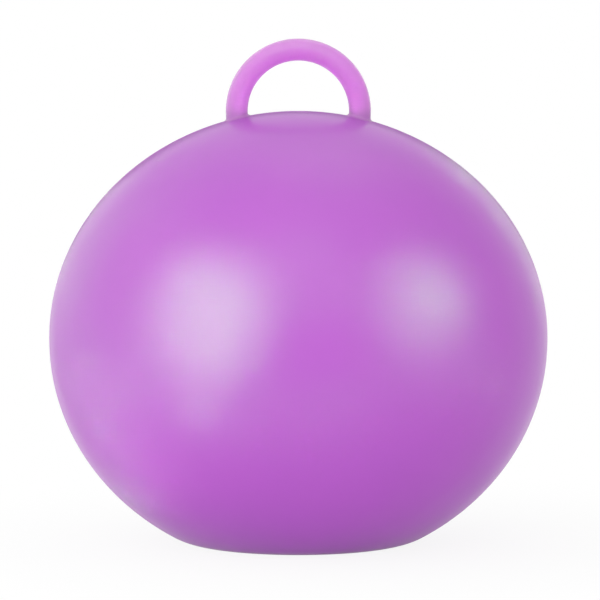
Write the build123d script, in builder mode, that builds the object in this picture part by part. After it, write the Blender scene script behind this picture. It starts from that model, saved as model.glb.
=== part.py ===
from build123d import *
from math import radians, sqrt, tan
import os

# Ball-shaped balloon weight: a hollow moulded shell with a flat foot, ballasted with sand.
# A ribbon loop snaps into two holes in the crown, and a tapered bung closes the foot.
# Millimetres, +Z up. The origin is the centre of the foot, on the floor.
# The loop lies in the XZ plane, so the eye under it looks along Y.

# Shell
body_width = 50.0  # across the widest line
body_height = 43.25  # floor to crown
foot_width = 22.9  # where the ball's curve would meet the floor, before its edge is rounded
foot_edge_radius = 6.0
wall = 1.5
recess_edge_radius = 0.4  # rounding of the foot ring's inner edge

# Filler neck, which stands inside the shell over a recess in the foot
neck_bore = 11.5  # diameter at the mouth
neck_length = 5.0
neck_wall = 1.2
neck_draft = 1.5  # degrees, narrowing inwards

# Bung
flange_seat_width = 1.5  # how far the flange reaches past the neck's mouth
flange_thickness = 1.3
flange_edge_radius = 0.35
flange_setback = 0.4  # the flange's face stands this far above the floor
flange_clearance = 0.2  # round the flange, in its recess
seat_clearance = 0.05  # between the flange and the roof of its recess
bung_shortfall = 0.6  # the skirt ends this far below the neck's top
bung_wall = 1.0
bung_floor = 1.6
rib_count = 2
rib_rise = 0.25  # how far a sealing rib stands out of the skirt
rib_clearance = 0.05  # between a rib and the neck
pry_notch_width = 4.0
pry_notch_depth = 1.1
gate_well_diameter = 3.4
gate_well_depth = 0.45
gate_nub_diameter = 1.3
gate_nub_rise = 0.25

# Ribbon loop
loop_outer_width = 14.5
loop_wire = 2.2  # diameter of the round section
leg_shoulder = 0.3  # the step from a leg to its peg, which rests on the crown
peg_clearance = 0.04  # round a peg, in its hole
barb_catch = 0.3  # how far a barb stands out past its peg
barb_length = 2.2
barb_clearance = 0.05  # between a barb and the inside of the crown

# Sand
headspace = 7.8  # air between the sand and the inside of the crown
sand_clearance = 0.1

overrun = 1.0  # how far a cutting shape reaches past what it cuts

# The ball's outline is an ellipse that the floor cuts off at the foot.
half_width = body_width / 2
cut_share = sqrt(1 - (foot_width / body_width) ** 2)
dome_rise = body_height / (1 + cut_share)  # widest line to crown
widest_height = body_height - dome_rise
cavity_half_width = half_width - wall
cavity_rise = dome_rise - wall

# Neck, recess and bung share one axis and one set of heights.
neck_radius = neck_bore / 2
neck_outer_radius = neck_radius + neck_wall
flange_radius = neck_radius + flange_seat_width
recess_radius = flange_radius + flange_clearance
flange_top = flange_setback + flange_thickness
recess_depth = flange_top + seat_clearance
neck_top = recess_depth + neck_length
bung_top = neck_top - bung_shortfall
floor_top = flange_setback + bung_floor
skirt_gap = rib_rise + rib_clearance
draft_slope = tan(radians(neck_draft))

# The loop's bow is a half circle about the crown.
wire_radius = loop_wire / 2
leg_offset = loop_outer_width / 2 - wire_radius
peg_radius = wire_radius - leg_shoulder
barb_radius = peg_radius + barb_catch
barb_tip_radius = peg_radius - barb_catch
legs = [(-leg_offset, 0), (leg_offset, 0)]

sand_level = body_height - wall - headspace

UP = (Align.CENTER, Align.CENTER, Align.MIN)
DOWN = (Align.CENTER, Align.CENTER, Align.MAX)
FROM_AXIS = (Align.MIN, Align.MIN)


def neck_radius_at(height):
    """Inner radius of the drafted neck at a height above the floor."""
    return neck_radius - (height - recess_depth) * draft_slope


def cavity_height_at(radius):
    """Height of the shell's inside, over the widest line, at a radius from the axis."""
    return widest_height + cavity_rise * sqrt(1 - (radius / cavity_half_width) ** 2)


def half_ball(half_span, rise, floor):
    """Adds to a sketch the right half of an ellipse about the widest line, above a floor."""
    with Locations((0, widest_height)):
        Ellipse(half_span, rise)
    with Locations((0, floor)):
        Rectangle(body_width, body_height + overrun, align=FROM_AXIS, mode=Mode.INTERSECT)


# Body shell: one hollow moulding, with the neck and its recess turned into the foot
with BuildPart() as body_shell:
    with BuildSketch(Plane.YZ):
        half_ball(half_width, dome_rise, 0)
    revolve(axis=Axis.Z)
    foot_edge = body_shell.edges().filter_by(GeomType.CIRCLE).sort_by(Axis.Z)[0]
    fillet(foot_edge, foot_edge_radius)
    with BuildSketch(Plane.YZ):
        half_ball(cavity_half_width, cavity_rise, wall)
        Rectangle(recess_radius + wall, recess_depth + wall, align=FROM_AXIS, mode=Mode.SUBTRACT)
        Rectangle(neck_outer_radius, neck_top, align=FROM_AXIS, mode=Mode.SUBTRACT)
    revolve(axis=Axis.Z, mode=Mode.SUBTRACT)
    Cylinder(recess_radius, recess_depth, align=UP, mode=Mode.SUBTRACT)
    with Locations((0, 0, recess_depth)):
        Cone(neck_radius, neck_radius_at(neck_top), neck_length, align=UP, mode=Mode.SUBTRACT)
    recess_edge = body_shell.edges().filter_by(GeomType.CIRCLE).group_by(Axis.Z)[0].sort_by(SortBy.RADIUS)[0]
    fillet(recess_edge, recess_edge_radius)
    with Locations(Plane.XY.offset(body_height)):
        with Locations(*legs):
            Hole(peg_radius + peg_clearance, depth=body_height - cavity_height_at(leg_offset) + overrun)
body_shell.part.label = "body_shell"

# Ribbon loop: a round bow on two legs, whose feet are cut to the crown
with BuildPart() as ribbon_loop:
    with BuildLine(Plane.XZ) as bow:
        Line((-leg_offset, widest_height), (-leg_offset, body_height))
        CenterArc((0, body_height), leg_offset, 180, -180)
        Line((leg_offset, body_height), (leg_offset, widest_height))
    with BuildSketch(Plane(bow.wires()[0] @ 0, z_dir=bow.wires()[0] % 0)):
        Circle(wire_radius)
    sweep()
    with BuildSketch(Plane.YZ):
        half_ball(half_width, dome_rise, 0)
    revolve(axis=Axis.Z, mode=Mode.SUBTRACT)
    barb_top = cavity_height_at(leg_offset + barb_radius) - barb_clearance
    with Locations(Plane.XY.offset(barb_top)):
        with Locations(*legs):
            Cylinder(peg_radius, body_height - barb_top, align=UP)
            Cone(barb_tip_radius, barb_radius, barb_length, align=DOWN)
ribbon_loop.part.label = "ribbon_loop"

# Filler bung: a flanged cup with a drafted, ribbed skirt
with BuildPart() as filler_bung:
    skirt_root = neck_radius_at(flange_top) - skirt_gap
    skirt_tip = neck_radius_at(bung_top) - skirt_gap
    cup_root = skirt_tip - bung_wall
    cup_tip = cup_root + (bung_top - floor_top) * draft_slope
    with BuildSketch(Plane.YZ):
        with BuildLine():
            Polyline(
                (0, flange_setback),
                (flange_radius, flange_setback),
                (flange_radius, flange_top),
                (skirt_root, flange_top),
                (skirt_tip, bung_top),
                (cup_tip, bung_top),
                (cup_root, floor_top),
                (0, floor_top),
                close=True,
            )
        make_face()
    revolve(axis=Axis.Z)
    flange_edges = filler_bung.edges().filter_by(GeomType.CIRCLE).sort_by(SortBy.RADIUS)[-2:]
    fillet(flange_edges, flange_edge_radius)
    rib_step = (bung_top - flange_top) / (rib_count + 1)
    for rib in range(rib_count):
        rib_height = flange_top + rib_step * (rib + 1)
        with Locations((0, 0, rib_height)):
            Torus(neck_radius_at(rib_height) - skirt_gap, rib_rise)
    with Locations((flange_radius, 0, flange_setback)):
        Box(
            pry_notch_depth * 2,
            pry_notch_width,
            flange_thickness,
            align=UP,
            mode=Mode.SUBTRACT,
        )
    with Locations((0, 0, flange_setback)):
        Cylinder(gate_well_diameter / 2, gate_well_depth, align=UP, mode=Mode.SUBTRACT)
    with Locations((0, 0, flange_setback + gate_well_depth)):
        Cylinder(gate_nub_diameter / 2, gate_nub_rise, align=DOWN)
filler_bung.part.label = "filler_bung"

# Sand: fills the shell round the neck, and stands in the bung's cup
with BuildPart() as sand_fill:
    with BuildSketch(Plane.YZ):
        half_ball(cavity_half_width - sand_clearance, cavity_rise - sand_clearance, wall + sand_clearance)
        Rectangle(body_width, sand_level, align=FROM_AXIS, mode=Mode.INTERSECT)
        Rectangle(
            recess_radius + wall + sand_clearance,
            recess_depth + wall + sand_clearance,
            align=FROM_AXIS,
            mode=Mode.SUBTRACT,
        )
        Rectangle(
            neck_outer_radius + sand_clearance,
            neck_top + sand_clearance,
            align=FROM_AXIS,
            mode=Mode.SUBTRACT,
        )
        with Locations((0, floor_top + sand_clearance)):
            Rectangle(cup_root - sand_clearance, neck_top - floor_top, align=FROM_AXIS)
    revolve(axis=Axis.Z)
sand_fill.part.label = "sand_fill"

os.makedirs("parts", exist_ok=True)
for piece in (body_shell, ribbon_loop, filler_bung, sand_fill):
    export_step(piece.part, f"parts/{piece.part.label}.step")
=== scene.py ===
from math import atan2, cos, pi, radians, sin, sqrt, tan, tau
from typing import NamedTuple

import bmesh
import bpy
from bpy.props import FloatProperty, FloatVectorProperty, IntProperty, PointerProperty
from mathutils import Matrix, Vector, noise


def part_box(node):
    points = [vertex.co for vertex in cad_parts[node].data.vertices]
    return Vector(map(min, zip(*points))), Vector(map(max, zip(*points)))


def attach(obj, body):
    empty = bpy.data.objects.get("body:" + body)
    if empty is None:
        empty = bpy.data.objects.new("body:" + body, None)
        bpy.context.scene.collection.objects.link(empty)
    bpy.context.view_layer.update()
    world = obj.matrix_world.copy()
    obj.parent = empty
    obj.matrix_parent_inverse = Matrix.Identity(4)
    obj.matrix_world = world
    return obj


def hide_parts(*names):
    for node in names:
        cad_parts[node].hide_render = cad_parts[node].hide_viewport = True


bl_info = {
    "name": "Balloon Weight",
    "version": (1, 0, 0),
    "blender": (4, 5, 0),
    "location": "View3D > Sidebar > Balloon Weight",
    "description": "Dresses a ball-shaped balloon weight and sets its studio",
    "category": "Add Mesh",
}

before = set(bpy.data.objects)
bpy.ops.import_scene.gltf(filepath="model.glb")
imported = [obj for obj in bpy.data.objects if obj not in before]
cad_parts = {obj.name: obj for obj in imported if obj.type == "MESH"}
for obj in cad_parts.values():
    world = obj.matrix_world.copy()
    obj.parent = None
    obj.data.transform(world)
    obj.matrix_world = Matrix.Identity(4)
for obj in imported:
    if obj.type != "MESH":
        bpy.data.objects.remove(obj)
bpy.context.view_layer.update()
_, SHELL_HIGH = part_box("body_shell")
LOOP_LOW, LOOP_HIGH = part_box("ribbon_loop")
BUNG_LOW, BUNG_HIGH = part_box("filler_bung")
_, SAND_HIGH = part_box("sand_fill")

MM = 0.001
MERGE_DISTANCE = 0.0001 * MM
ON_PLANE = 0.001 * MM  # how near a plane a point counts as on it
SMALL_ANGLE = 1e-7  # radians, to which the start of the foot's rounding is found
ROUNDED_OVER = radians(50)  # an edge that turns by more than this is rounded
CORNER_OVER = radians(35)  # an edge that turns by more than this is shaded as a corner
HOLE_DEPTH = 4  # of the tool that cuts the peg holes, in walls
UP = Vector((0, 0, 1))

COAT_WEIGHT = 0.5  # a thin shine over the satin plastic
COAT_IOR = 1.15
COAT_ROUGHNESS = 0.18
SCUFF_ROUGHNESS = 0.15  # what rubbing adds to the plastic's own
SCUFF_FROM, SCUFF_TO = 0.42, 0.62  # noise at which the rubbing starts, and at which it is full
LIGHT_SPREAD = (1.0, 0.65, 1.0)  # how far red, green and blue light wander in the loop's plastic
SAND_ROUGHNESS = 0.85
GRAIN_RELIEF = 1 / 3  # height of a grain, as a share of its size
FLOOR_ROUGHNESS = 0.9
WEAVE_SCALE = 900.0  # of the dark flag's cloth
CLOTH_DARK, CLOTH_PALE = 0.015, 0.03
SPOTS_PER_RING = 6  # in the first ring of a cluster, and as many more in each further one


# Settings


def length(name, description, metres):
    """A size that a user can change, shown in the scene's length unit."""
    return FloatProperty(
        name=name, description=description, default=metres, min=0, unit="LENGTH", precision=5
    )


def angle(name, description, degrees):
    """An angle that a user can change."""
    return FloatProperty(name=name, description=description, default=radians(degrees), subtype="ANGLE")


def share(name, description, value):
    """A plain number from 0 to 1."""
    return FloatProperty(
        name=name, description=description, default=value, min=0, max=1, subtype="FACTOR"
    )


def count(name, description, value):
    """A whole number of steps or copies."""
    return IntProperty(name=name, description=description, default=value, min=1)


def color(name, description, red, green, blue):
    """A linear colour."""
    return FloatVectorProperty(
        name=name,
        description=description,
        default=(red, green, blue),
        min=0,
        max=1,
        size=3,
        subtype="COLOR",
    )


class BALLOONWEIGHT_PG_shell(bpy.types.PropertyGroup):
    """Sizes and colours of the hollow ball."""

    half_width: length("Half width", "Axis to the widest line, on the parting ridge", SHELL_HIGH.x)
    height: length("Height", "Floor to crown", SHELL_HIGH.z)
    foot_width: length("Foot width", "Where the ball's curve would meet the floor", 22.9 * MM)
    foot_edge: length("Foot edge", "Radius between the ball and its foot", 6 * MM)
    wall: length("Wall", "Thickness of the moulded wall", 1.5 * MM)
    recess_radius: length("Recess radius", "Round recess for the bung's flange", 7.45 * MM)
    recess_depth: length("Recess depth", "Floor to the roof of the recess", 1.75 * MM)
    recess_edge: length("Recess edge", "Rounding of the foot ring's inner edge", 0.4 * MM)
    neck_radius: length("Neck radius", "Inside of the filler neck, at its mouth", 5.75 * MM)
    neck_length: length("Neck length", "Recess roof to the top of the neck", 5 * MM)
    neck_wall: length("Neck wall", "Thickness of the filler neck", 1.2 * MM)
    neck_draft: angle("Neck draft", "How far the neck narrows inwards", 1.5)
    edge_rounding: length("Edge rounding", "Rounding of the neck's and recess's sharp edges", 0.12 * MM)
    peg_clearance: length("Peg clearance", "Room round the loop's pegs in their holes", 0.04 * MM)
    round_steps: count("Steps round", "Faces round the ball", 192)
    curve_steps: count("Steps down", "Faces from the crown to the foot", 88)
    edge_steps: count("Steps on an edge", "Faces over a rounded edge", 12)
    plastic: color("Plastic", "Violet satin plastic", 0.5, 0.107, 0.62)
    scuffed: color("Scuffed", "Plastic where it rubs on the table", 0.6, 0.27, 0.68)
    roughness: share("Roughness", "Satin finish of the mould", 0.43)
    gloss: share("Gloss", "Strength of the plastic's shine", 0.32)


class BALLOONWEIGHT_PG_parting(bpy.types.PropertyGroup):
    """The fine ridge that the two mould halves leave on shell and loop."""

    width: length("Ridge width", "Width of the parting ridge", 0.2 * MM)
    height: length("Ridge height", "How far the ridge stands out", 0.03 * MM)


class BALLOONWEIGHT_PG_loop(bpy.types.PropertyGroup):
    """Sizes and colour of the ribbon loop."""

    half_width: length("Half width", "Axis to the loop's outer side", LOOP_HIGH.x)
    wire_radius: length("Wire radius", "Radius of the loop's round section", LOOP_HIGH.y)
    foot_fillet: length("Foot fillet", "Rounding between a leg and the crown", 0.36 * MM)
    foot_lip: length("Foot lip", "Thickness of the foot's outer edge", 0.03 * MM)
    peg_radius: length("Peg radius", "Peg in the shell's hole", 0.8 * MM)
    barb_radius: length("Barb radius", "Widest part of the barb", 1.1 * MM)
    barb_tip: length("Barb tip", "Radius of the barb's point", 0.5 * MM)
    barb_length: length("Barb length", "Height of the barb", 2.2 * MM)
    section_steps: count("Steps round", "Faces round the section", 40)
    bow_steps: count("Steps along", "Faces along the half circle", 112)
    fillet_steps: count("Steps on a foot", "Faces over a foot's fillet", 8)
    plastic: color("Plastic", "Lighter violet plastic of the loop", 0.46, 0.153, 0.515)
    roughness: share("Roughness", "Satin finish of the mould", 0.48)
    gloss: share("Gloss", "Strength of the plastic's shine", 0.6)
    light_depth: length("Light depth", "How far light wanders in the plastic", 10 * MM)


class BALLOONWEIGHT_PG_bung(bpy.types.PropertyGroup):
    """Sizes and colour of the filler bung."""

    flange_radius: length("Flange radius", "Outer radius of the flange", BUNG_HIGH.y)
    flange_face: length("Flange face", "Floor to the flange's face", BUNG_LOW.z)
    flange_thickness: length("Flange thickness", "Thickness of the flange", 1.3 * MM)
    flange_edge: length("Flange edge", "Rounding of the flange's rim", 0.35 * MM)
    skirt_gap: length("Skirt gap", "Skirt to the neck's wall", 0.3 * MM)
    skirt_wall: length("Skirt wall", "Thickness of the skirt", 1 * MM)
    floor: length("Floor", "Thickness of the bung's floor", 1.6 * MM)
    rib_rise: length("Rib rise", "How far a sealing rib stands out", 0.25 * MM)
    rib_count: count("Ribs", "Sealing ribs round the skirt", 2)
    well_radius: length("Gate well radius", "Round well of the mould's gate", 1.7 * MM)
    well_depth: length("Gate well depth", "Depth of the gate well", 0.45 * MM)
    nub_radius: length("Gate nub radius", "Stub left by the gate", 0.65 * MM)
    nub_rise: length("Gate nub rise", "How far the stub stands out of the well", 0.25 * MM)
    notch_width: length("Notch width", "Pry notch in the flange", 4 * MM)
    notch_depth: length("Notch depth", "Depth of the pry notch", 1.1 * MM)
    notch_rounding: length("Notch rounding", "Rounding of the notch's corners", 0.3 * MM)
    edge_rounding: length("Edge rounding", "Rounding of the other edges", 0.1 * MM)
    round_steps: count("Steps round", "Faces round the bung", 96)
    edge_steps: count("Steps on an edge", "Faces over a rounded edge", 6)


class BALLOONWEIGHT_PG_sand(bpy.types.PropertyGroup):
    """Sizes and colours of the sand."""

    clearance: length("Clearance", "Sand to the plastic round it", 0.1 * MM)
    grain: length("Grain", "Size of a grain", 0.45 * MM)
    ripple: length("Ripple", "Height of the waves on the sand's surface", 0.5 * MM)
    ripple_length: length("Ripple length", "Length of those waves", 9 * MM)
    round_steps: count("Steps round", "Faces round the sand", 128)
    rings: count("Rings", "Rings of faces over the sand's surface", 30)
    pale: color("Pale grain", "Lightest grains", 0.62, 0.48, 0.31)
    dark: color("Dark grain", "Darkest grains", 0.27, 0.17, 0.09)


class BALLOONWEIGHT_PG_studio(bpy.types.PropertyGroup):
    """Camera, floor and lamps."""

    distance: length("Distance", "Camera to the point it aims at", 550 * MM)
    elevation: angle("Elevation", "Camera above the horizon", 5.6)
    frame_width: length("Frame width", "Width of the picture at the aim point", 60.12 * MM)
    aim_right: length("Aim right", "Aim point to the right of the ball's axis", 0.166 * MM)
    aim_height: length("Aim height", "Aim point above the floor", 24.3 * MM)
    floor_size: length("Floor size", "Side of the square floor", 8.0)
    shadow_reach: length("Shadow reach", "How far from the ball the floor shows its shadow", 55 * MM)
    # Painted light: the floor's white glow fades out round this middle, right of the ball's axis, so
    # the floor left of the ball glows whiter. This is a painted pool of light from the left, which the
    # ball's gloss shows as a painted reflection.
    shadow_shift: length("Shadow shift", "The shadow's middle, to the right of the ball's axis", 6 * MM)
    floor_color: color("Floor", "Pale floor", 0.82, 0.82, 0.82)
    floor_white: share("Floor white", "How white the floor looks in the middle of the shadow", 0.88)
    mirrored_white: share("Mirrored white", "How white that floor looks in the ball's gloss", 0.4)
    world: share("Surroundings", "Light of the white surroundings", 0.66)
    lamp_distance: length("Lamp distance", "Ball to each lamp", 700 * MM)
    flag_distance: length("Flag distance", "Ball to the dark flag that draws its edge", 300 * MM)
    flag_width: length("Flag width", "Width of the flag", 180 * MM)
    flag_low: length("Flag low", "Floor to the flag's lower edge", 15 * MM)
    flag_high: length("Flag high", "Floor to the flag's upper edge", 115 * MM)
    softbox_tint: color("Softbox tint", "Keeps highlights on violet from turning pink", 0.52, 1, 0.38)


SETTINGS = {
    "balloon_shell": BALLOONWEIGHT_PG_shell,
    "balloon_parting": BALLOONWEIGHT_PG_parting,
    "balloon_loop": BALLOONWEIGHT_PG_loop,
    "balloon_bung": BALLOONWEIGHT_PG_bung,
    "balloon_sand": BALLOONWEIGHT_PG_sand,
    "balloon_studio": BALLOONWEIGHT_PG_studio,
}


# Shape of the ball, which shell, loop and sand share


class Ball:
    """The ball's ellipse inside its parting ridge, cut off by the floor."""

    def __init__(self, scene):
        shell, ridge = scene.balloon_shell, scene.balloon_parting.height
        cut = sqrt(1 - (shell.foot_width / 2 / shell.half_width) ** 2)
        rise = shell.height / (1 + cut)
        self.centre = shell.height - rise
        self.half_width = shell.half_width - ridge
        self.rise = rise - ridge
        self.inner_half_width = self.half_width - shell.wall
        self.inner_rise = self.rise - shell.wall

    def crown_at(self, x, y):
        """Height of the outside over a point of the floor."""
        return self.centre + self.rise * sqrt(1 - (x * x + y * y) / self.half_width**2)

    def slope_at(self, x, y):
        """Rise of the crown along X and Y at a point."""
        steepness = (self.rise / self.half_width) ** 2 / (self.crown_at(x, y) - self.centre)
        return Vector((-x * steepness, -y * steepness))

    def inner_angle_at(self, height, gap):
        """Angle from the crown to a height, on the circle that the inside less a gap is made from."""
        level = (height - self.centre) / (self.inner_rise - gap)
        return atan2(sqrt(1 - level * level), level)

    def foot_rounding(self, radius):
        """Angle from the crown, on the ball's circle, where the foot's rounding begins, the radius
        from the axis of its centre, and the angle that it turns through to reach the floor."""
        low, high = pi / 2, pi
        while high - low > SMALL_ANGLE:
            middle = (low + high) / 2
            normal = Vector((sin(middle) / self.half_width, cos(middle) / self.rise)).normalized()
            if self.centre + self.rise * cos(middle) - radius * normal.y > radius:
                low = middle
            else:
                high = middle
        return low, self.half_width * sin(low) - radius * normal.x, pi - atan2(normal.x, normal.y)


# Mesh tools


class Profile:
    """A line in the XZ plane, drawn from point to point and then spun about Z."""

    def __init__(self, x, z):
        self.bm = bmesh.new()
        self.tip = self.bm.verts.new((x, 0, z))

    def line(self, x, z):
        """A straight run to a point."""
        grown = bmesh.ops.extrude_vert_indiv(self.bm, verts=[self.tip])
        self.tip = grown["verts"][0]
        self.tip.co = (x, 0, z)

    def arc(self, x, z, turn, steps, squash=1):
        """A turn about a point, on a circle squashed along Z. Turns go from +Z towards +X."""
        drawn = len(self.bm.verts)
        start = self.tip
        start.co.z = z + (start.co.z - z) / squash
        grown = bmesh.ops.spin(
            self.bm, geom=[start], cent=(x, 0, z), axis=(0, 1, 0), angle=turn, steps=steps
        )
        self.tip = next(part for part in grown["geom_last"] if isinstance(part, bmesh.types.BMVert))
        bmesh.ops.scale(
            self.bm,
            vec=(1, 1, squash),
            space=Matrix.Translation((0, 0, -z)),
            verts=[start, *list(self.bm.verts)[drawn:]],
        )

    def turned(self, steps):
        """The round mesh that the line makes, closed at its poles."""
        bm = self.bm
        bmesh.ops.spin(
            bm,
            geom=[*bm.verts, *bm.edges],
            cent=(0, 0, 0),
            axis=UP,
            angle=tau,
            steps=steps,
            use_merge=True,
        )
        bmesh.ops.remove_doubles(bm, verts=bm.verts[:], dist=MERGE_DISTANCE)
        bmesh.ops.recalc_face_normals(bm, faces=bm.faces[:])
        return bm


def round_sharp_edges(bm, radius):
    """Rounds every sharp edge."""
    sharp = [edge for edge in bm.edges if edge.calc_face_angle(0) > ROUNDED_OVER]
    bmesh.ops.bevel(
        bm,
        geom=sharp,
        offset=radius,
        offset_type="OFFSET",
        segments=2,
        profile=0.5,
        affect="EDGES",
        clamp_overlap=True,
        material=-1,
    )


def raise_parting_line(bm, ridge, share_at):
    """Cuts the mesh beside the XZ plane and lifts the line in it by a share of the ridge's height."""
    for side in (-1, 1):
        bmesh.ops.bisect_plane(
            bm,
            geom=[*bm.verts, *bm.edges, *bm.faces],
            plane_co=(0, side * ridge.width / 2, 0),
            plane_no=(0, 1, 0),
            dist=MERGE_DISTANCE,
        )
    bm.normal_update()
    for vert in bm.verts:
        if abs(vert.co.y) < ON_PLANE:
            vert.co += vert.normal * ridge.height * share_at(vert.co)


def new_object(name, bm):
    """An object at the origin that holds a finished bmesh."""
    mesh = bpy.data.meshes.new(name)
    bm.to_mesh(mesh)
    bm.free()
    thing = bpy.data.objects.new(name, mesh)
    bpy.context.scene.collection.objects.link(thing)
    return thing


def cut_away(piece, cutter_bm):
    """Cuts a shape out of a piece."""
    cutter = new_object("cutter", cutter_bm)
    cut = piece.modifiers.new("cut", "BOOLEAN")
    cut.operation = "DIFFERENCE"
    cut.solver = "EXACT"
    cut.object = cutter
    bpy.context.view_layer.update()
    whole, old = piece.evaluated_get(bpy.context.evaluated_depsgraph_get()), piece.data
    piece.data = bpy.data.meshes.new_from_object(whole)
    piece.modifiers.clear()
    bpy.data.meshes.remove(old)
    bpy.data.meshes.remove(cutter.data)


def smooth_shaded(piece):
    """Shades a piece smooth, apart from its corners."""
    piece.data.shade_smooth()
    piece.data.set_sharp_from_angle(angle=CORNER_OVER)


def put_on(piece, material, body, node):
    """Gives a piece its material, and its place in the frame."""
    piece.data.materials.clear()
    piece.data.materials.append(material)
    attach(piece, body)
    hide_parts(node)


# Shader tools


def add_node(tree, kind, inputs=None, **attributes):
    """A node with its own values set and its inputs filled or linked."""
    node = tree.nodes.new(kind)
    for name, value in attributes.items():
        setattr(node, name, value)
    for name, value in (inputs or {}).items():
        if isinstance(value, bpy.types.NodeSocket):
            tree.links.new(value, node.inputs[name])
        else:
            node.inputs[name].default_value = value
    return node


def math(tree, operation, first, second):
    """The output of a Math node."""
    return add_node(tree, "ShaderNodeMath", {0: first, 1: second}, operation=operation).outputs[0]


def new_group(name, inputs, outputs):
    """A shader node group with its sockets, its input node and its output node."""
    tree = bpy.data.node_groups.new(name, "ShaderNodeTree")
    kinds = {float: "NodeSocketFloat", tuple: "NodeSocketColor"}
    for socket, value in inputs.items():
        made = tree.interface.new_socket(socket, in_out="INPUT", socket_type=kinds[type(value)])
        made.default_value = value
    for socket, kind in outputs.items():
        tree.interface.new_socket(socket, in_out="OUTPUT", socket_type=kinds[kind])
    return tree, tree.nodes.new("NodeGroupInput").outputs, tree.nodes.new("NodeGroupOutput").inputs


def noise_on_piece(tree, scale, detail):
    """A noise on the piece's own coordinates, from 0 to 1."""
    place = add_node(tree, "ShaderNodeTexCoord").outputs["Object"]
    made = add_node(tree, "ShaderNodeTexNoise", {"Vector": place, "Scale": scale, "Detail": detail})
    return made.outputs["Fac"]


def moulded_skin_group():
    """Height and roughness of a moulded surface: fine grain over a slow ripple."""
    name = "Moulded skin"
    if name in bpy.data.node_groups:
        return bpy.data.node_groups[name]
    inputs = {
        "Grain Scale": 5200.0,
        "Grain Height": 0.006 * MM,
        "Ripple Scale": 210.0,
        "Ripple Height": 0.07 * MM,
        "Roughness": 0.44,
        "Roughness Spread": 0.08,
    }
    tree, given, made = new_group(name, inputs, {"Height": float, "Roughness": float})
    grain = noise_on_piece(tree, given["Grain Scale"], 2)
    ripple = noise_on_piece(tree, given["Ripple Scale"], 1)
    fine = math(tree, "MULTIPLY", grain, given["Grain Height"])
    slow = math(tree, "MULTIPLY", ripple, given["Ripple Height"])
    tree.links.new(math(tree, "ADD", fine, slow), made["Height"])
    centred = math(tree, "SUBTRACT", ripple, 0.5)
    drift = math(tree, "MULTIPLY", centred, given["Roughness Spread"])
    tree.links.new(math(tree, "ADD", given["Roughness"], drift), made["Roughness"])
    return tree


def pigment_group():
    """Colour of plastic whose pigment isn't mixed quite evenly."""
    name = "Pigment drift"
    if name in bpy.data.node_groups:
        return bpy.data.node_groups[name]
    inputs = {"Color": (0.5, 0.1, 0.6, 1.0), "Scale": 120.0, "Amount": 0.05, "Hue": 0.006}
    tree, given, made = new_group(name, inputs, {"Color": tuple})
    cloud = noise_on_piece(tree, given["Scale"], 3)
    centred = math(tree, "SUBTRACT", cloud, 0.5)
    hue = math(tree, "ADD", math(tree, "MULTIPLY", centred, given["Hue"]), 0.5)
    value = math(tree, "ADD", math(tree, "MULTIPLY", centred, given["Amount"]), 1)
    shades = {"Hue": hue, "Value": value, "Color": given["Color"]}
    drifted = add_node(tree, "ShaderNodeHueSaturation", shades)
    tree.links.new(drifted.outputs["Color"], made["Color"])
    return tree


def scuff_group():
    """Pale rubbed patches near the table, and a mask of where they are."""
    name = "Table scuff"
    if name in bpy.data.node_groups:
        return bpy.data.node_groups[name]
    inputs = {
        "Color": (0.5, 0.1, 0.6, 1.0),
        "Scuffed": (0.6, 0.3, 0.7, 1.0),
        "Reach": 0.7 * MM,
        "Scale": 700.0,
    }
    tree, given, made = new_group(name, inputs, {"Color": tuple, "Mask": float})
    place = add_node(tree, "ShaderNodeTexCoord").outputs["Object"]
    height = add_node(tree, "ShaderNodeSeparateXYZ", {"Vector": place}).outputs["Z"]
    low = add_node(
        tree,
        "ShaderNodeMapRange",
        {"Value": height, "From Min": given["Reach"], "From Max": 0.0, "To Min": 0.0, "To Max": 1.0},
        interpolation_type="SMOOTHSTEP",
    )
    patches = noise_on_piece(tree, given["Scale"], 6)
    rubbed = add_node(
        tree,
        "ShaderNodeMapRange",
        {"Value": patches, "From Min": SCUFF_FROM, "From Max": SCUFF_TO, "To Min": 0.0, "To Max": 1.0},
    )
    mask = math(tree, "MULTIPLY", low.outputs[0], rubbed.outputs[0])
    # Inputs 6 and 7 of a Mix node are its two colours, and output 2 is their mixture.
    colors = {"Factor": mask, 6: given["Color"], 7: given["Scuffed"]}
    mixed = add_node(tree, "ShaderNodeMix", colors, data_type="RGBA")
    tree.links.new(mixed.outputs[2], made["Color"])
    tree.links.new(mask, made["Mask"])
    return tree


def grouped(tree, group, inputs):
    """A group's node in a material, with its own values."""
    return add_node(tree, "ShaderNodeGroup", inputs, node_tree=group).outputs


def new_material(name):
    """A material with nodes, its tree and its shader."""
    material = bpy.data.materials.new(name)
    material.use_nodes = True
    return material, material.node_tree, material.node_tree.nodes["Principled BSDF"]


def satin_plastic(name, plastic, scuffed, roughness, gloss):
    """Moulded satin plastic, rubbed paler where it meets the table."""
    material, tree, shader = new_material(name)
    pigment = grouped(tree, pigment_group(), {"Color": (*plastic, 1)})
    scuff = grouped(tree, scuff_group(), {"Color": pigment["Color"], "Scuffed": (*scuffed, 1)})
    skin = grouped(tree, moulded_skin_group(), {"Roughness": roughness})
    rubbed = math(tree, "MULTIPLY", scuff["Mask"], SCUFF_ROUGHNESS)
    relief = {"Height": skin["Height"], "Distance": 1.0, "Strength": 1.0}
    bump = add_node(tree, "ShaderNodeBump", relief)
    tree.links.new(scuff["Color"], shader.inputs["Base Color"])
    tree.links.new(math(tree, "ADD", skin["Roughness"], rubbed), shader.inputs["Roughness"])
    tree.links.new(bump.outputs["Normal"], shader.inputs["Normal"])
    shader.inputs["Specular IOR Level"].default_value = gloss
    shader.inputs["Coat Weight"].default_value = COAT_WEIGHT
    shader.inputs["Coat IOR"].default_value = COAT_IOR
    shader.inputs["Coat Roughness"].default_value = COAT_ROUGHNESS
    return material


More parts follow.
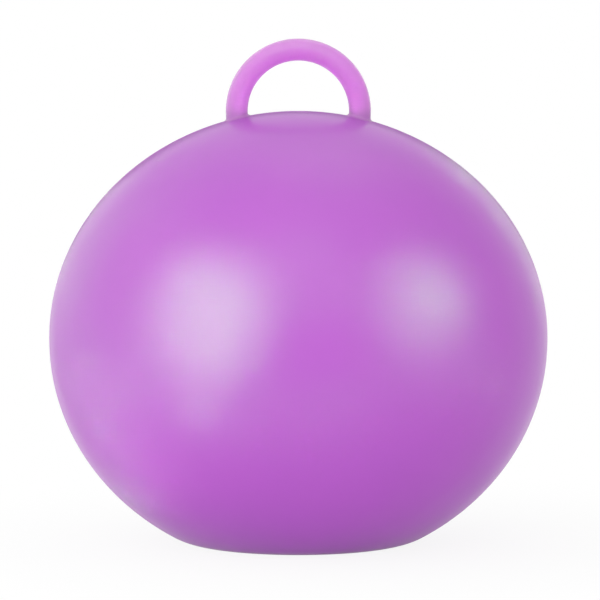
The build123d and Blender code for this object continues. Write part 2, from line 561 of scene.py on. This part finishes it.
def let_light_through(material, low, high, depth):
    """Lets light into a piece, not at all below one height and fully above another."""
    tree = material.node_tree
    shader = tree.nodes["Principled BSDF"]
    place = add_node(tree, "ShaderNodeTexCoord").outputs["Object"]
    height = add_node(tree, "ShaderNodeSeparateXYZ", {"Vector": place}).outputs["Z"]
    weight = add_node(tree, "ShaderNodeMapRange", {"Value": height, "From Min": low, "From Max": high})
    tree.links.new(weight.outputs[0], shader.inputs["Subsurface Weight"])
    shader.inputs["Subsurface Radius"].default_value = LIGHT_SPREAD
    shader.inputs["Subsurface Scale"].default_value = depth


def sand_material(sizes):
    """Dry sand: grains of mixed colour, each a small bump."""
    material, tree, shader = new_material("dry_sand")
    place = add_node(tree, "ShaderNodeTexCoord").outputs["Object"]
    cells = add_node(tree, "ShaderNodeTexVoronoi", {"Vector": place, "Scale": 1 / sizes.grain})
    tint = add_node(tree, "ShaderNodeSeparateColor", {"Color": cells.outputs["Color"]}).outputs["Red"]
    ramp = add_node(tree, "ShaderNodeValToRGB", {"Fac": tint})
    ramp.color_ramp.elements[0].color = (*sizes.dark, 1)
    ramp.color_ramp.elements[1].color = (*sizes.pale, 1)
    relief = {"Height": cells.outputs["Distance"], "Distance": sizes.grain * GRAIN_RELIEF}
    bump = add_node(tree, "ShaderNodeBump", relief, invert=True)
    tree.links.new(ramp.outputs["Color"], shader.inputs["Base Color"])
    tree.links.new(bump.outputs["Normal"], shader.inputs["Normal"])
    shader.inputs["Roughness"].default_value = SAND_ROUGHNESS
    return material


# Body shell


def shell_outline(shell, ball):
    """The shell's section: down the outside, through the foot's recess and neck, and up the inside."""
    begin, edge_centre, edge_turn = ball.foot_rounding(shell.foot_edge)
    squash = ball.rise / ball.half_width
    line = Profile(0, ball.centre + ball.rise)
    line.arc(0, ball.centre, begin, shell.curve_steps, squash)
    line.arc(edge_centre, shell.foot_edge, edge_turn, shell.edge_steps)
    line.line(shell.recess_radius + shell.recess_edge, 0)
    line.arc(shell.recess_radius + shell.recess_edge, shell.recess_edge, pi / 2, shell.edge_steps // 2)
    line.line(shell.recess_radius, shell.recess_depth)
    line.line(shell.neck_radius, shell.recess_depth)
    neck_top = shell.recess_depth + shell.neck_length
    line.line(shell.neck_radius - shell.neck_length * tan(shell.neck_draft), neck_top)
    line.line(shell.neck_radius + shell.neck_wall, neck_top)
    line.line(shell.neck_radius + shell.neck_wall, shell.recess_depth + shell.wall)
    line.line(shell.recess_radius + shell.wall, shell.recess_depth + shell.wall)
    line.line(shell.recess_radius + shell.wall, shell.wall)
    inside = ball.inner_angle_at(shell.wall, 0)
    line.line(ball.inner_half_width * sin(inside), shell.wall)
    line.arc(0, ball.centre, -inside, shell.curve_steps, ball.inner_rise / ball.inner_half_width)
    return line


class BALLOONWEIGHT_OT_body_shell(bpy.types.Operator):
    """Makes the hollow ball, with its foot, bung recess, filler neck and peg holes"""

    bl_idname = "balloon_weight.body_shell"
    bl_label = "Body shell"

    def execute(self, context):
        scene = context.scene
        shell, loop = scene.balloon_shell, scene.balloon_loop
        ridge, ball = scene.balloon_parting, Ball(scene)
        bm = shell_outline(shell, ball).turned(shell.round_steps)
        round_sharp_edges(bm, shell.edge_rounding)
        middle_width = (ball.half_width + ball.inner_half_width) / 2
        middle_rise = (ball.rise + ball.inner_rise) / 2

        def ridge_share(place):
            outside = (place.x / middle_width) ** 2 + ((place.z - ball.centre) / middle_rise) ** 2 > 1
            return min(1, place.z / shell.foot_edge) if outside else 0

        raise_parting_line(bm, ridge, ridge_share)
        piece = new_object("moulded_shell", bm)
        holes = bmesh.new()
        for side in (-1, 1):
            place = (side * (loop.half_width - loop.wire_radius), 0, shell.height - shell.wall)
            bmesh.ops.create_cone(
                holes,
                cap_ends=True,
                segments=loop.section_steps,
                radius1=loop.peg_radius + shell.peg_clearance,
                radius2=loop.peg_radius + shell.peg_clearance,
                depth=shell.wall * HOLE_DEPTH,
                matrix=Matrix.Translation(place),
            )
        cut_away(piece, holes)
        smooth_shaded(piece)
        material = satin_plastic(
            "violet_satin_plastic", shell.plastic, shell.scuffed, shell.roughness, shell.gloss
        )
        put_on(piece, material, "weight", "body_shell")
        return {"FINISHED"}


# Ribbon loop


class BALLOONWEIGHT_OT_ribbon_loop(bpy.types.Operator):
    """Makes the half-round ribbon loop, with flared feet on the crown and barbed pegs under it"""

    bl_idname = "balloon_weight.ribbon_loop"
    bl_label = "Ribbon loop"

    def execute(self, context):
        scene = context.scene
        shell, loop = scene.balloon_shell, scene.balloon_loop
        ridge, ball = scene.balloon_parting, Ball(scene)
        wire_radius = loop.wire_radius - ridge.height
        leg_place = loop.half_width - loop.wire_radius
        bm = bmesh.new()
        bmesh.ops.create_circle(
            bm,
            segments=loop.section_steps,
            radius=wire_radius,
            matrix=Matrix.Translation((-leg_place, 0, shell.height)),
        )
        bmesh.ops.spin(
            bm,
            geom=[*bm.verts, *bm.edges],
            cent=(0, 0, shell.height),
            axis=(0, 1, 0),
            angle=pi,
            steps=loop.bow_steps,
        )

        def grow_legs(place_at):
            """Lengthens both legs by one row, with each point where place_at puts it."""
            ends = [edge for edge in bm.edges if edge.is_boundary]
            grown = bmesh.ops.extrude_edge_only(bm, edges=ends)["geom"]
            for vert in (part for part in grown if isinstance(part, bmesh.types.BMVert)):
                leg = Vector((leg_place if vert.co.x > 0 else -leg_place, 0))
                way = (vert.co.xy - leg).normalized()
                vert.co = place_at(leg, way)

        def foot_row(turn, lift):
            """A row of the foot's fillet, whose reach follows the crown's slope round the leg."""

            def place_at(leg, way):
                edge = leg + way * wire_radius
                corner = pi / 2 + atan2(-ball.slope_at(edge.x, edge.y).dot(way), 1)
                reach = loop.foot_fillet / tan(corner / 2)
                spot = leg + way * (wire_radius + reach * (1 - cos(turn)))
                height = ball.crown_at(spot.x, spot.y) + reach * (1 - sin(turn))
                return (spot.x, spot.y, height + lift)

            return place_at

        def ring_row(radius, height=None):
            """A plain row, on the crown where it has no height of its own."""

            def place_at(leg, way):
                spot = leg + way * radius
                return (spot.x, spot.y, ball.crown_at(spot.x, spot.y) if height is None else height)

            return place_at

        for step in range(loop.fillet_steps + 1):
            grow_legs(foot_row(step / loop.fillet_steps * pi / 2, loop.foot_lip))
        grow_legs(foot_row(pi / 2, 0))
        barb_top = LOOP_LOW.z + loop.barb_length
        grow_legs(ring_row(loop.peg_radius))
        grow_legs(ring_row(loop.peg_radius, barb_top))
        grow_legs(ring_row(loop.barb_radius, barb_top))
        grow_legs(ring_row(loop.barb_tip, LOOP_LOW.z))
        points = [edge for edge in bm.edges if edge.is_boundary]
        bmesh.ops.holes_fill(bm, edges=points, sides=loop.section_steps)
        bmesh.ops.recalc_face_normals(bm, faces=bm.faces[:])

        def ridge_share(place):
            return 1 if place.z > shell.height - ridge.width else 0

        raise_parting_line(bm, ridge, ridge_share)
        piece = new_object("moulded_loop", bm)
        smooth_shaded(piece)
        material = satin_plastic(
            "light_violet_plastic", loop.plastic, loop.plastic, loop.roughness, loop.gloss
        )
        low, high = shell.height - loop.foot_fillet, shell.height + loop.foot_fillet
        let_light_through(material, low, high, loop.light_depth)
        put_on(piece, material, "weight", "ribbon_loop")
        return {"FINISHED"}


# Filler bung


def bung_outline(bung, shell):
    """The bung's section: from its face, round the flange, up the ribbed skirt and into its cup."""
    slope = tan(shell.neck_draft)
    face, flange_top, top = bung.flange_face, bung.flange_face + bung.flange_thickness, BUNG_HIGH.z
    cup_floor = face + bung.floor

    def skirt_at(height):
        return shell.neck_radius - (height - shell.recess_depth) * slope - bung.skirt_gap

    edge, rim = bung.flange_edge, bung.flange_radius - bung.flange_edge
    well_floor = face + bung.well_depth
    line = Profile(0, well_floor - bung.nub_rise)
    line.line(bung.nub_radius, well_floor - bung.nub_rise)
    line.line(bung.nub_radius, well_floor)
    line.line(bung.well_radius, well_floor)
    line.line(bung.well_radius, face)
    line.line(rim, face)
    line.arc(rim, face + edge, -pi / 2, bung.edge_steps)
    line.line(bung.flange_radius, flange_top - edge)
    line.arc(rim, flange_top - edge, -pi / 2, bung.edge_steps)
    line.line(skirt_at(flange_top), flange_top)
    step = (top - flange_top) / (bung.rib_count + 1)
    for rib in range(bung.rib_count):
        middle = flange_top + step * (rib + 1)
        line.line(skirt_at(middle - bung.rib_rise), middle - bung.rib_rise)
        line.arc(skirt_at(middle - bung.rib_rise), middle, -pi, bung.edge_steps * 2)
    line.line(skirt_at(top), top)
    cup_root = skirt_at(top) - bung.skirt_wall
    line.line(cup_root + (top - cup_floor) * slope, top)
    line.line(cup_root, cup_floor)
    line.line(0, cup_floor)
    return line


class BALLOONWEIGHT_OT_filler_bung(bpy.types.Operator):
    """Makes the push-in bung, with its ribbed skirt, pry notch and gate mark"""

    bl_idname = "balloon_weight.filler_bung"
    bl_label = "Filler bung"

    def execute(self, context):
        scene = context.scene
        shell, bung = scene.balloon_shell, scene.balloon_bung
        bm = bung_outline(bung, shell).turned(bung.round_steps)
        round_sharp_edges(bm, bung.edge_rounding)
        piece = new_object("moulded_bung", bm)
        notch = bmesh.new()
        bmesh.ops.create_cube(
            notch,
            size=1,
            matrix=Matrix.Translation((bung.flange_radius, 0, bung.flange_face))
            @ Matrix.Diagonal((bung.notch_depth * 2, bung.notch_width, bung.flange_thickness * 2, 1)),
        )
        heights = {edge: abs(edge.verts[0].co.z - edge.verts[1].co.z) for edge in notch.edges}
        upright = [edge for edge, height in heights.items() if height > ON_PLANE]
        bmesh.ops.bevel(
            notch,
            geom=upright,
            offset=bung.notch_rounding,
            segments=bung.edge_steps,
            profile=0.5,
            affect="EDGES",
            material=-1,
        )
        cut_away(piece, notch)
        smooth_shaded(piece)
        material = satin_plastic(
            "bung_plastic", shell.plastic, shell.scuffed, shell.roughness, shell.gloss
        )
        put_on(piece, material, "bung", "filler_bung")
        return {"FINISHED"}


# Sand


def sand_outline(sand, shell, bung, ball):
    """The sand's section: out of the bung's cup, round the neck, up the shell and over its surface."""
    gap = sand.clearance
    cup_floor = bung.flange_face + bung.floor + gap
    neck_top = shell.recess_depth + shell.neck_length + gap
    narrowing = (BUNG_HIGH.z - shell.recess_depth) * tan(shell.neck_draft)
    column = shell.neck_radius - narrowing - bung.skirt_gap - bung.skirt_wall - gap
    low = shell.wall + gap
    line = Profile(0, cup_floor)
    line.line(column, cup_floor)
    line.line(column, neck_top)
    line.line(shell.neck_radius + shell.neck_wall + gap, neck_top)
    line.line(shell.neck_radius + shell.neck_wall + gap, shell.recess_depth + low)
    line.line(shell.recess_radius + low, shell.recess_depth + low)
    line.line(shell.recess_radius + low, low)
    begin, end = ball.inner_angle_at(low, gap), ball.inner_angle_at(SAND_HIGH.z - sand.ripple, gap)
    half_width, rise = ball.inner_half_width - gap, ball.inner_rise - gap
    line.line(half_width * sin(begin), low)
    line.arc(0, ball.centre, end - begin, sand.rings, rise / half_width)
    edge = line.tip.co.x
    for ring in range(sand.rings):
        line.line(edge * (1 - (ring + 1) / sand.rings), SAND_HIGH.z - sand.ripple)
    return line


class BALLOONWEIGHT_OT_sand_fill(bpy.types.Operator):
    """Makes the sand inside the shell, with a gently uneven surface"""

    bl_idname = "balloon_weight.sand_fill"
    bl_label = "Sand"

    def execute(self, context):
        scene = context.scene
        sand, ball = scene.balloon_sand, Ball(scene)
        bm = sand_outline(sand, scene.balloon_shell, scene.balloon_bung, ball).turned(sand.round_steps)
        level = SAND_HIGH.z - sand.ripple
        edge = max(vert.co.xy.length for vert in bm.verts if abs(vert.co.z - level) < ON_PLANE)
        for vert in bm.verts:
            if abs(vert.co.z - level) < ON_PLANE:
                inward = min(1, (edge - vert.co.xy.length) / sand.ripple_length)
                vert.co.z += sand.ripple * inward * noise.noise(vert.co / sand.ripple_length)
        piece = new_object("loose_sand", bm)
        smooth_shaded(piece)
        put_on(piece, sand_material(sand), "weight", "sand_fill")
        return {"FINISHED"}


# Studio


class Lamp(NamedTuple):
    """A round lamp that faces the ball."""

    way: tuple  # from the ball to the lamp
    spread: float  # degrees from its middle to its rim, as the ball sees it
    watts: float


class Patch(NamedTuple):
    """A flat round lamp that stands for a lit patch of the table or of the crown."""

    x: float  # millimetres from the ball's axis
    y: float
    radius: float  # millimetres
    watts: float
    height: float = 2  # millimetres above the floor


class Cluster(NamedTuple):
    """Snooted spots in rings about a middle one, which light one patch of the ball together."""

    way: tuple  # from that patch to the middle spot
    aim: tuple  # millimetres, the point that every spot faces
    spacing: float  # degrees from ring to ring, as the patch sees them
    rings: int
    distance: float  # millimetres
    beam: float  # millimetres, radius of the patch
    watts: float


# Fills, and the table that they light, bring out the plastic's own colour.
FILLS = {
    "left_fill": Lamp((-0.8, -0.5, 0.15), 45, 2.6),
    "front_fill": Lamp((0.0, -1.0, 0.1), 35, 2.75),
    "top_fill": Lamp((0.0, -0.2, 1.0), 35, 0.1),
    "back_fill": Lamp((0.0, 1.0, 0.15), 35, 1.1),
}
FILL_PATCHES = {
    "left_fill_patch": Patch(-24, -24, 12, 0.0004),
    "crown_patch": Patch(0, 0, 4, 0.00006, 44),
    "left_leg_patch": Patch(-5.2, -2.4, 1.2, 0.000062, 43),
    "right_leg_patch": Patch(5.2, -2.4, 1.2, 0.000054, 43),
}
# Softboxes, and the table that they light, show only in the plastic's gloss.
SOFTBOXES = {
    "left_panel": Lamp((-1.0, 0.1, 0.15), 45, 4.9),
    "top_softbox": Lamp((-0.15, 0.1, 1.0), 42, 2.1),
    "crown_softbox": Lamp((0.1, 0.27, 0.95), 14, 0.35),
    "front_softbox": Lamp((0.0, -0.75, 0.65), 25, 3.2),
    "left_rim": Lamp((-0.42, 0.9, 0.22), 14, 0.14),
    "right_rim": Lamp((0.42, 0.9, 0.22), 14, 0.19),
}
SOFTBOX_PATCHES = {
    "left_side_patch": Patch(-160, -18, 100, 0.27),
    "left_near_patch": Patch(-52, -12, 22, 0.01),
    "left_under_patch": Patch(-24, -10, 10, 0.0007),
    "front_patch": Patch(0, -60, 30, 0.0137),
    "right_patch": Patch(110, -62, 80, 0.088),
}
# Each of these draws one soft highlight, and no glare on the rest of the ball.
CLUSTERS = {
    "left_highlight": Cluster((-0.48, -0.8, 0.34), (-11.2, -22.4, 24.8), 15.5, 2, 60, 5, 4.6),
    "left_tail": Cluster((-0.68, -0.7, -0.13), (-9.8, -22.2, 18), 12, 1, 40, 11, 0.017),
    "left_low_tail": Cluster((-0.62, -0.64, -0.46), (-10, -20.5, 13), 9, 1, 28, 10, 0.0335),
    "left_flank": Cluster((-0.9, -0.1, -0.35), (-16.5, -15, 9), 14, 1, 40, 11, 0.03),
    "right_highlight": Cluster((0.81, -0.45, 0.36), (12.6, -20.6, 26.3), 12, 2, 60, 9, 0.48),
}


class BALLOONWEIGHT_OT_studio(bpy.types.Operator):
    """Sets the floor, the lamps, the white surroundings and the camera"""

    bl_idname = "balloon_weight.studio"
    bl_label = "Studio"

    def execute(self, context):
        scene = context.scene
        studio = scene.balloon_studio
        scene.view_settings.view_transform = "Standard"
        self.set_camera(scene, studio)
        self.set_floor(studio)
        self.set_world(scene, studio)
        self.set_flag(studio)
        for lamp in self.set_lamps(scene, FILLS, FILL_PATCHES):
            lamp.visible_glossy = False
        gloss = self.set_lamps(scene, SOFTBOXES, SOFTBOX_PATCHES)
        for name, cluster in CLUSTERS.items():
            gloss += self.set_cluster(name, cluster)
        for lamp in gloss:
            lamp.visible_diffuse = False
            lamp.data.color = studio.softbox_tint
        return {"FINISHED"}

    def set_lamps(self, scene, lamps, patches):
        """The objects of a set of round lamps and lit patches."""
        made = [self.set_lamp(name, lamp, scene) for name, lamp in lamps.items()]
        return made + [self.set_patch(name, patch) for name, patch in patches.items()]

    def set_camera(self, scene, studio):
        """A camera in front of the ball and a little above it, with a long lens."""
        data = bpy.data.cameras.new("camera")
        data.lens = data.sensor_width * studio.distance / studio.frame_width
        camera = bpy.data.objects.new("camera", data)
        scene.collection.objects.link(camera)
        back = Vector((0, -cos(studio.elevation), sin(studio.elevation)))
        camera.location = Vector((studio.aim_right, 0, studio.aim_height)) + back * studio.distance
        camera.rotation_euler = back.to_track_quat("Z", "Y").to_euler()
        scene.camera = camera

    def set_lamp(self, name, lamp, scene):
        """A round lamp that faces the ball's middle from afar."""
        studio = scene.balloon_studio
        way = Vector(lamp.way).normalized()
        width = 2 * studio.lamp_distance * tan(radians(lamp.spread))
        place = way * studio.lamp_distance + UP * scene.balloon_shell.height / 2
        return self.add_disk(name, width, lamp.watts, place, -way)

    def set_patch(self, name, patch):
        """A round lamp that lies flat and faces up."""
        place = Vector((patch.x, patch.y, patch.height)) * MM
        return self.add_disk(name, 2 * patch.radius * MM, patch.watts, place, UP)

    def set_cluster(self, name, cluster):
        """Spots on a dome about the patch that they light, each as wide as the gap between rings."""
        aim = Vector(cluster.aim) * MM
        distance = cluster.distance * MM
        turn = Vector(cluster.way).to_track_quat("Z", "Y").to_matrix()
        counts = [max(1, SPOTS_PER_RING * ring) for ring in range(cluster.rings + 1)]
        spots = []
        for ring, number in enumerate(counts):
            tilt = Matrix.Rotation(radians(cluster.spacing) * ring, 3, "Y")
            for step in range(number):
                way = turn @ Matrix.Rotation(tau * step / number, 3, "Z") @ tilt @ UP
                place = aim + way * distance
                watts = cluster.watts / sum(counts)
                spot = self.add_lamp(f"{name}_{len(spots)}", "SPOT", watts, place, -way)
                spot.data.spot_size = 2 * atan2(cluster.beam, cluster.distance)
                spot.data.spot_blend = 1
                spot.data.shadow_soft_size = distance * tan(radians(cluster.spacing)) / 2
                spots.append(spot)
        return spots

    def add_disk(self, name, width, watts, place, facing):
        """A round area lamp."""
        lamp = self.add_lamp(name, "AREA", watts, place, facing)
        lamp.data.shape = "DISK"
        lamp.data.size = width
        return lamp

    def add_lamp(self, name, kind, watts, place, facing):
        """A lamp that the camera doesn't see, and that light paths reach only by aiming at it."""
        data = bpy.data.lights.new(name, kind)
        data.energy = watts
        data.cycles.use_multiple_importance_sampling = False
        lamp = bpy.data.objects.new(name, data)
        bpy.context.scene.collection.objects.link(lamp)
        lamp.location = place
        lamp.rotation_euler = (-facing).to_track_quat("Z", "Y").to_euler()
        lamp.visible_camera = False
        return lamp

    def set_floor(self, studio):
        """A pale floor, white away from the ball's shadow and clear from below."""
        bm = bmesh.new()
        bmesh.ops.create_grid(bm, x_segments=1, y_segments=1, size=studio.floor_size / 2)
        floor = new_object("floor", bm)
        material, tree, shader = new_material("pale_floor")
        shader.inputs["Base Color"].default_value = (*studio.floor_color, 1)
        shader.inputs["Roughness"].default_value = FLOOR_ROUGHNESS
        place = add_node(tree, "ShaderNodeTexCoord").outputs["Object"]
        # Painted light: the glow is weakest round a middle right of the ball, so the floor left of it
        # glows whiter, in view and more so in the ball's gloss.
        middle = Vector((studio.shadow_shift, 0, 0))
        away = add_node(tree, "ShaderNodeVectorMath", {0: place, 1: middle}, operation="DISTANCE")
        looked_at = add_node(tree, "ShaderNodeLightPath").outputs["Is Camera Ray"]
        shares = {"To Min": studio.mirrored_white, "To Max": studio.floor_white}
        near = add_node(tree, "ShaderNodeMapRange", {"Value": looked_at, **shares})
        fading = {
            "Value": away.outputs["Value"],
            "From Min": 0.0,
            "From Max": studio.shadow_reach,
            "To Min": near.outputs[0],
            "To Max": 1.0,
        }
        far = add_node(tree, "ShaderNodeMapRange", fading, interpolation_type="SMOOTHSTEP")
        white = add_node(tree, "ShaderNodeEmission", {"Strength": 1.0}).outputs[0]
        seen = seen_background(tree)
        whiteness = math(tree, "MULTIPLY", seen, far.outputs[0])
        mixed = add_node(tree, "ShaderNodeMixShader", {0: whiteness, 2: white})
        tree.links.new(shader.outputs[0], mixed.inputs[1])
        clear = add_node(tree, "ShaderNodeBsdfTransparent").outputs[0]
        under = add_node(tree, "ShaderNodeNewGeometry").outputs["Backfacing"]
        sided = add_node(tree, "ShaderNodeMixShader", {0: under, 1: mixed.outputs[0], 2: clear})
        tree.links.new(sided.outputs[0], tree.nodes["Material Output"].inputs["Surface"])
        floor.data.materials.append(material)
        # The floor goes down with a pulled bung, which would otherwise sink into it.
        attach(floor, "bung")

    def set_flag(self, studio):
        """A dark cloth behind the ball, out of the picture, that its edge mirrors."""
        middle = Vector((0, studio.flag_distance, (studio.flag_low + studio.flag_high) / 2))
        bm = bmesh.new()
        bmesh.ops.create_grid(
            bm,
            x_segments=1,
            y_segments=1,
            size=0.5,
            matrix=Matrix.Translation(middle)
            @ Matrix.Rotation(pi / 2, 4, "X")
            @ Matrix.Diagonal((studio.flag_width, studio.flag_high - studio.flag_low, 1, 1)),
        )
        flag = new_object("dark_flag", bm)
        material, tree, shader = new_material("dark_cloth")
        weave = noise_on_piece(tree, WEAVE_SCALE, 2)
        shades = {"Value": weave, "To Min": CLOTH_DARK, "To Max": CLOTH_PALE}
        shade = add_node(tree, "ShaderNodeMapRange", shades)
        tree.links.new(shade.outputs[0], shader.inputs["Base Color"])
        flag.data.materials.append(material)
        flag.visible_camera = False
        flag.visible_diffuse = False
        flag.visible_shadow = False

    def set_world(self, scene, studio):
        """White surroundings, dimmer for the rays that light the ball."""
        world = bpy.data.worlds.new("white_surroundings")
        scene.world = world
        world.use_nodes = True
        tree = world.node_tree
        seen = seen_background(tree)
        strength = math(tree, "ADD", math(tree, "MULTIPLY", seen, 1 - studio.world), studio.world)
        backdrop = tree.nodes["Background"]
        backdrop.inputs["Color"].default_value = (1, 1, 1, 1)
        tree.links.new(strength, backdrop.inputs["Strength"])


def seen_background(tree):
    """1 for a ray that sees the background, straight, mirrored or through glass, or else 0."""
    path = add_node(tree, "ShaderNodeLightPath").outputs
    mirrored = math(tree, "MAXIMUM", path["Is Glossy Ray"], path["Is Transmission Ray"])
    return math(tree, "MAXIMUM", path["Is Camera Ray"], mirrored)


# Sidebar


OPERATORS = (
    BALLOONWEIGHT_OT_body_shell,
    BALLOONWEIGHT_OT_ribbon_loop,
    BALLOONWEIGHT_OT_filler_bung,
    BALLOONWEIGHT_OT_sand_fill,
    BALLOONWEIGHT_OT_studio,
)


class BALLOONWEIGHT_PT_sidebar(bpy.types.Panel):
    """Lists the pieces and their sizes"""

    bl_label = "Balloon Weight"
    bl_idname = "BALLOONWEIGHT_PT_sidebar"
    bl_space_type = "VIEW_3D"
    bl_region_type = "UI"
    bl_category = "Balloon Weight"

    def draw(self, context):
        for operator in OPERATORS:
            self.layout.operator(operator.bl_idname)
        for name in SETTINGS:
            settings = getattr(context.scene, name)
            box = self.layout.box()
            for key in settings.__annotations__:
                box.prop(settings, key)


def register():
    for item in (*SETTINGS.values(), *OPERATORS, BALLOONWEIGHT_PT_sidebar):
        bpy.utils.register_class(item)
    for name, group in SETTINGS.items():
        setattr(bpy.types.Scene, name, PointerProperty(type=group))


def unregister():
    for name in SETTINGS:
        delattr(bpy.types.Scene, name)
    for item in (BALLOONWEIGHT_PT_sidebar, *reversed(OPERATORS), *reversed(SETTINGS.values())):
        bpy.utils.unregister_class(item)


def main():
    register()
    bpy.ops.balloon_weight.studio()
    bpy.ops.balloon_weight.body_shell()
    bpy.ops.balloon_weight.ribbon_loop()
    bpy.ops.balloon_weight.filler_bung()
    bpy.ops.balloon_weight.sand_fill()


if __name__ == "__main__":
    main()
